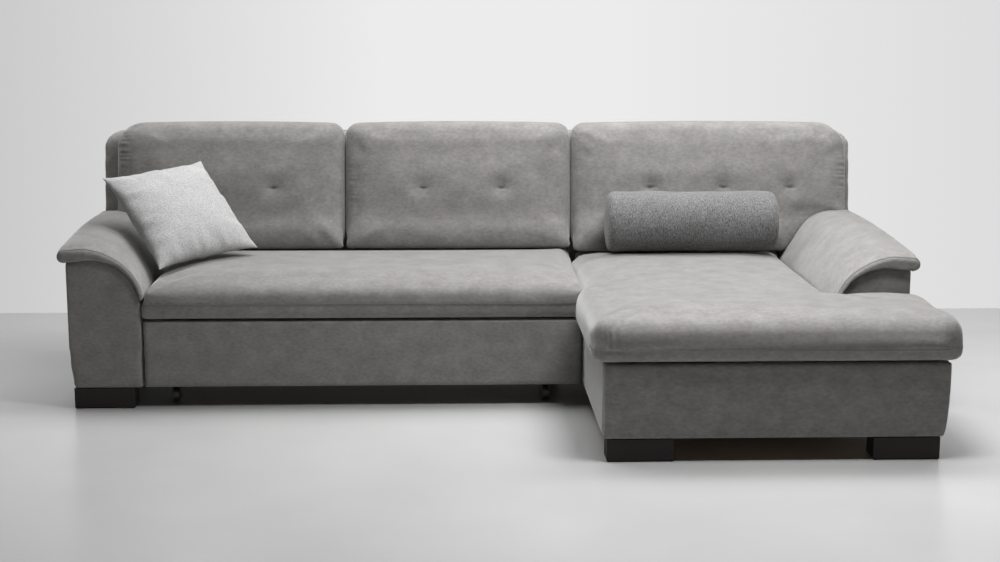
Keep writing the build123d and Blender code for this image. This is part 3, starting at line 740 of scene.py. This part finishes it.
def finish_back(piece, node):
    """Gathers one side seam, squares the lower corners, draws the tufts in and fills the foot out."""
    low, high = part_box(node)
    subdivide(piece)
    outward = back_coordinates(points_of(piece))[1]
    ease(piece, outward > back_last_depth, back_last_passes)
    points = points_of(piece)
    x, y, z = points.T  # views: a change to them moves the points
    along, outward = back_coordinates(points)
    front = smooth_step(face_start, face_full, outward)
    gather = back_gathers[node]
    edge = low.x + gather["inset"] if gather["side"] == "left" else high.x - gather["inset"]
    gathered = gather["strength"] * bell(x - edge, gather_width)
    gathered *= bell(along - gather["height"], gather["length"])
    pull = gathered * folds(along, x - edge)
    face = front > 0.5
    base = along[face].min()
    left = x[face].min()
    right = x[face].max()
    for side, sign in ((left, 1), (right, -1)):
        inward = sign * (x - side)
        depth, height = squarer(inward, along - base, back_corner)
        x += sign * front * (depth - inward)
        z += front * (height - along + base)
    x += end_fill[node] * front * bell(x - high.x, end_width)
    centred = 2 * (x - low.x) / (high.x - low.x) - 1
    z += top_crown * smooth_step(crown_start, crown_full, along) * (1 - centred ** 2)
    pull -= low_fill * bell(along - low_fill_height, low_fill_width)
    # Painted shade: a dark spot at each tuft's stitch pit, kept at the vertices so that the microfibre
    # darkens its colour there.
    pit_shade = np.zeros(len(points))
    for across, up in tuft_offsets(points, node):
        pull += dimple_depth * bell(across, dimple_width) * bell(up, dimple_height)
        pull += crease_depth * bell(across, crease_width) * bell(up, crease_height)
        pit_shade += bell(across, pit_shade_width) * bell(up, pit_shade_height)
    y += pull * front * math.cos(back_lean)
    z -= pull * front * math.sin(back_lean)
    foot = front * smooth_step(foot_height, 0.0, along)
    z -= low_drop[node] * foot
    x += foot_fill * foot * (bell(x - high.x, foot_fill_width) - bell(x - low.x, foot_fill_width))
    move_points(piece, points)
    paint(piece, "pit_shade", pit_shade * front)
    dress(piece, node, microfibre)


back_jobs = {node: make_back(node) for node in tuft_shares}


# Arm pads: thick covers over the arms, flat in front
def make_pad(side):
    """A pad's cover before its cloth, with the points that stay put."""
    node = f"{side}_arm_pad"
    low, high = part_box(node)
    piece = soft_copy(f"{node}_cover", node, pad_voxel, pad_passes)
    y = points_of(piece)[:, 1]
    held = (y > high.y - pad_held_rear) | (y < low.y + pad_held_nose)
    return piece, held


def finish_pad(piece, side):
    """Lets the pad rise towards the back, full in the middle, and droop a little at its nose."""
    node = f"{side}_arm_pad"
    low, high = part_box(node)
    points = points_of(piece)
    y = points[:, 1]
    z = points[:, 2]  # a view: a change to it moves the points
    back = np.clip((y - low.y) / (high.y - low.y), 0, 1)
    upper = smooth_step(high.z - pad_upper_start, high.z - pad_upper_full, z)
    z += upper * (pad_rise * back + pad_belly * np.sin(math.pi * back))
    z -= upper * pad_droop * bell(y - low.y, pad_droop_length)
    move_points(piece, points)
    subdivide(piece)
    dress(piece, node, microfibre)


pad_jobs = {side: make_pad(side) for side in ("left", "right")}


# Scatter cushion: two square sheets sewn at the rim, blown up from a pillow's rough form
def scatter_matrix():
    """The plane that the scatter cushion leans in."""
    low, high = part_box("scatter_cushion")
    across = Vector((math.cos(scatter_turn), math.sin(scatter_turn), 0))
    outward = Vector((
        math.cos(scatter_lean) * math.sin(scatter_turn),
        -math.cos(scatter_lean) * math.cos(scatter_turn),
        math.sin(scatter_lean),
    ))
    up = outward.cross(across)
    turned = Matrix((across, up, outward)).transposed().to_4x4()
    middle = (low + high) / 2 + Vector((0, 0, scatter_raise))
    return Matrix.Translation(middle) @ turned @ Matrix.Rotation(scatter_tip, 4, "Z")


def pucker(toward, beside):
    """How far the cover is drawn in near an edge, in uneven puckers along it."""
    waves = 0
    for weight, rate, drift, start in pucker_waves:
        waves += weight * math.sin(rate * beside + drift * toward + start)
    return pucker_depth * (1 + waves) * toward ** 4


def make_scatter():
    """A pillow in its own plane: sides that pull in between the corners, thick in the middle."""
    cover = bmesh.new()
    steps = np.linspace(-1, 1, scatter_cells + 1)
    sheets = []
    for face in (1, -1):
        sheet = {}
        for column, u in enumerate(steps):
            for row, v in enumerate(steps):
                rim = column in (0, scatter_cells) or row in (0, scatter_cells)
                if rim and sheets:
                    sheet[column, row] = sheets[0][column, row]
                    continue
                x = u * (scatter_size / 2 - scatter_pull * (1 - v ** 4) * abs(u))
                y = v * (scatter_size / 2 - scatter_pull * (1 - u ** 4) * abs(v))
                ear = 1 + scatter_ear * (u * v) ** 6
                plump = ((1 - u * u) * (1 - v * v)) ** scatter_plump
                tuck = pucker(u, v + pucker_shift_upright * face)
                tuck += pucker(v, u - pucker_shift_level * face)
                z = face * scatter_half_thickness * plump * (1 - tuck)
                sheet[column, row] = cover.verts.new((x * ear, y * ear, z))
        sheets.append(sheet)
        for column in range(scatter_cells):
            for row in range(scatter_cells):
                corners = [
                    sheet[column, row], sheet[column + 1, row],
                    sheet[column + 1, row + 1], sheet[column, row + 1],
                ]
                cover.faces.new(corners if face == 1 else corners[::-1])
    mesh = bpy.data.meshes.new("scatter_cushion_cover")
    cover.to_mesh(mesh)
    cover.free()
    return new_piece("scatter_cushion_cover", mesh)


scatter_piece = make_scatter()
scatter_rim = np.abs(points_of(scatter_piece)[:, 2]) < 1e-4

# All the cloth runs together, and then each cover gets its last shape
cloth_jobs = [
    (seat_piece, seat_held, seat_cap),
    (chaise_piece, chaise_held, seat_cap),
    (scatter_piece, scatter_rim, scatter_cap),
]
cloth_jobs += [(piece, held, back_cap) for piece, held in back_jobs.values()]
cloth_jobs += [(piece, held, pad_cap) for piece, held in pad_jobs.values()]
swell(cloth_jobs)

finish_seat(
    seat_piece, "seat_cushion", seat_seam_height,
    edge_shift=0.016, side_fill=0.0, left_lift=0.0, right_lift=0.012
)
finish_seat(
    chaise_piece, "chaise_cushion", chaise_seam_height,
    edge_shift=0.0, side_fill=0.011, left_lift=0.016, right_lift=0.0
)
for back_node, (back_piece, back_held) in back_jobs.items():
    finish_back(back_piece, back_node)
for pad_side, (pad_piece, pad_held) in pad_jobs.items():
    finish_pad(pad_piece, pad_side)

scatter_piece.data.transform(scatter_matrix())
subdivide(scatter_piece)
dress(scatter_piece, "scatter_cushion", scatter_cover)


# Bolster: a stuffed roll, flatter where it lies, with softly rounded ends
def make_bolster():
    """A closed roll of rings, gathered at its ends, waved along, fuller above and flattened below."""
    low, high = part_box("bolster")
    centre = (low + high) / 2
    half = (high.x - low.x) / 2
    radius = (high.z - low.z) / 2
    floor = bolster_floor * radius
    give = bolster_give * radius
    roll = bmesh.new()
    loops = []
    for ring in range(bolster_rings + 1):
        share = -math.cos(math.pi * ring / bolster_rings)
        shrink = max(0.0, 1 - abs(share) ** bolster_end_power) ** bolster_end_shape
        loop = []
        for spoke in range(bolster_spokes):
            angle = 2 * math.pi * spoke / bolster_spokes
            gather = bolster_gather_depth * math.cos(bolster_gathers * angle)
            gather *= abs(share) ** bolster_gather_power
            wave = 0
            for depth, around, onward in bolster_waves:
                wave += depth * math.sin(around * angle + onward * share)
            reach = radius * bolster_girth * shrink * (1 + gather + wave)
            y = reach * math.cos(angle)
            z = reach * math.sin(angle)
            if z > 0:
                z *= bolster_rise
            if z < -floor:
                z = -floor - give * math.tanh((-z - floor) / give)
            loop.append(roll.verts.new((centre.x + half * share, centre.y + y, centre.z + z)))
        loops.append(loop)
    for first, second in zip(loops, loops[1:]):
        for spoke in range(bolster_spokes):
            after = (spoke + 1) % bolster_spokes
            roll.faces.new((first[spoke], second[spoke], second[after], first[after]))
    bmesh.ops.remove_doubles(roll, verts=roll.verts[:], dist=1e-5)
    bmesh.ops.recalc_face_normals(roll, faces=roll.faces[:])
    mesh = bpy.data.meshes.new("bolster_cover")
    roll.to_mesh(mesh)
    roll.free()
    return new_piece("bolster_cover", mesh)


dress(make_bolster(), "bolster", bolster_cover)

# Bed cushion in the drawer
bed_piece = soft_copy("bed_cushion_cover", "bed_cushion", seat_voxel, seat_passes)
dress(bed_piece, "bed_cushion", microfibre)

# Gathers at the chaise's front left corner
chaise_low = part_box("chaise_cushion")[0]
chaise_points = points_of(chaise_piece)
chaise_x, chaise_y, chaise_z = chaise_points.T  # views: a change to them moves the points
gathered_corner = bell(chaise_x - chaise_low.x - corner_gather_inset, corner_gather_width)
gathered_corner *= bell(chaise_z - corner_gather_height, corner_gather_length)
gathered_corner *= smooth_step(chaise_low.y + corner_gather_reach, chaise_low.y, chaise_y)
chaise_y += gathered_corner * folds(chaise_x, chaise_z - chaise_seam_height)
move_points(chaise_piece, chaise_points)

# Sewn lines along the seat fronts and round the noses of the pads
seat_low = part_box("seat_cushion")[0]
sew(
    "seat_seam", seat_piece, "seat_cushion", (0, 0, seat_seam_height), (0, 0, 1),
    lambda spot: spot.y < seat_low.y + seat_seam_reach
)
sew(
    "chaise_seam", chaise_piece, "chaise_cushion", (0, 0, chaise_seam_height), (0, 0, 1),
    lambda spot: spot.y < chaise_low.y + chaise_seam_reach
)
for pad_side, (pad_piece, pad_held) in pad_jobs.items():
    pad_node = f"{pad_side}_arm_pad"
    pad_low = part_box(pad_node)[0]
    sew(
        f"{pad_side}_pad_seam", pad_piece, pad_node, (0, pad_low.y + pad_seam_inset, 0), (0, 1, 0),
        lambda spot: spot.z > pad_low.z + pad_seam_base
    )

# Camera
forward = Vector((
    -math.sin(camera_yaw) * math.cos(camera_pitch),
    math.cos(camera_yaw) * math.cos(camera_pitch),
    -math.sin(camera_pitch),
))
level = Vector((math.cos(camera_yaw), math.sin(camera_yaw), 0))
upright = level.cross(forward)
right = level * math.cos(camera_roll) + upright * math.sin(camera_roll)
above = upright * math.cos(camera_roll) - level * math.sin(camera_roll)
camera_data = bpy.data.cameras.new("camera")
camera_data.sensor_width = sensor_width
camera_data.lens = focal_pixels * sensor_width / image_width
camera = bpy.data.objects.new("camera", camera_data)
scene.collection.objects.link(camera)
camera_turn = Matrix((right, above, -forward)).transposed().to_4x4()
camera.matrix_world = Matrix.Translation(camera_place) @ camera_turn
scene.camera = camera


# Stage: a pale sealed floor with a straight rear edge, a pale backdrop and soft light from above
def make_floor():
    mesh = bpy.data.meshes.new("floor")
    corners = [
        (-floor_half, -floor_half, 0), (floor_half, -floor_half, 0),
        (floor_half, floor_rear, 0), (-floor_half, floor_rear, 0),
    ]
    mesh.from_pydata(corners, [], [(0, 1, 2, 3)])
    floor = new_piece("floor", mesh)
    material, tree, shader = new_material("sealed_floor")
    cloud = add_noise(tree, scale=1.4, detail=5)
    colour = add_ramp(tree, cloud, [(0.3, grey(0.465)), (0.7, grey(0.525))])
    tree.links.new(colour, shader.inputs["Base Color"])
    shader.inputs["Roughness"].default_value = 0.25
    shader.inputs["Specular IOR Level"].default_value = 0.3
    mesh.materials.append(material)


def add_light(name, place, target, size, power):
    data = bpy.data.lights.new(name, "AREA")
    data.shape = "RECTANGLE"
    data.size, data.size_y = size
    data.energy = power
    lamp = bpy.data.objects.new(name, data)
    scene.collection.objects.link(lamp)
    lamp.location = place
    lamp.visible_camera = False
    aim = Vector(target) - Vector(place)
    lamp.rotation_euler = aim.to_track_quat("-Z", "Y").to_euler()


def make_world():
    """Dim light, brighter from the rear, that camera and gloss see as a backdrop, palest in the middle with
    painted light that falls off to the sides.
    """
    world = bpy.data.worlds.new("studio")
    scene.world = world
    world.use_nodes = True
    tree = world.node_tree
    tree.nodes.clear()
    place = tree.nodes.new("ShaderNodeTexCoord")
    split = tree.nodes.new("ShaderNodeSeparateXYZ")
    spread = tree.nodes.new("ShaderNodeMapRange")
    spread.inputs["From Min"].default_value = -0.34
    spread.inputs["From Max"].default_value = 0.34
    tree.links.new(place.outputs["Generated"], split.inputs["Vector"])
    tree.links.new(split.outputs["X"], spread.inputs["Value"])
    # Painted light: the backdrop is brightest in the middle and darker towards the sides, as light falling
    # off along a wall.
    backdrop_falloff_colour = add_ramp(tree, spread.outputs["Result"], [
        (0.0, grey(0.51)), (0.45, grey(0.84)), (0.65, grey(0.84)), (1.0, grey(0.72)),
    ])
    backdrop = tree.nodes.new("ShaderNodeBackground")
    tree.links.new(backdrop_falloff_colour, backdrop.inputs["Color"])
    room = tree.nodes.new("ShaderNodeBackground")
    room.inputs["Color"].default_value = (0.97, 0.98, 1, 1)
    depth = tree.nodes.new("ShaderNodeMapRange")
    depth.inputs["From Min"].default_value = 0.0
    depth.inputs["From Max"].default_value = 0.8
    depth.inputs["To Min"].default_value = 0.0
    depth.inputs["To Max"].default_value = 0.40
    tree.links.new(split.outputs["Y"], depth.inputs["Value"])
    tree.links.new(depth.outputs["Result"], room.inputs["Strength"])
    path = tree.nodes.new("ShaderNodeLightPath")
    seen = tree.nodes.new("ShaderNodeMath")
    seen.operation = "MAXIMUM"
    tree.links.new(path.outputs["Is Camera Ray"], seen.inputs[0])
    tree.links.new(path.outputs["Is Glossy Ray"], seen.inputs[1])
    mix = tree.nodes.new("ShaderNodeMixShader")
    output = tree.nodes.new("ShaderNodeOutputWorld")
    tree.links.new(seen.outputs["Value"], mix.inputs["Fac"])
    tree.links.new(room.outputs["Background"], mix.inputs[1])
    tree.links.new(backdrop.outputs["Background"], mix.inputs[2])
    tree.links.new(mix.outputs["Shader"], output.inputs["Surface"])


make_floor()
make_world()
add_light("seat_box", place=(0.9, 0.08, 2.35), target=(0.9, 0.08, 0.0), size=(3.0, 0.6), power=37)
add_light("chaise_box", place=(0.8, -1.0, 2.35), target=(0.8, -0.78, 0.0), size=(0.8, 0.4), power=43)
add_light("left_box", place=(-1.5, 0.16, 2.4), target=(-1.3, 0.16, 0.4), size=(0.9, 0.5), power=10)
add_light("overhead", place=(0.6, 0.4, 4.2), target=(0.6, 0.4, 0.0), size=(5.0, 1.6), power=76)
add_light("rear_wash", place=(-0.6, 1.15, 3.2), target=(-0.6, 1.15, 0.0), size=(6.0, 0.7), power=42)
scene.view_settings.view_transform = "Standard"
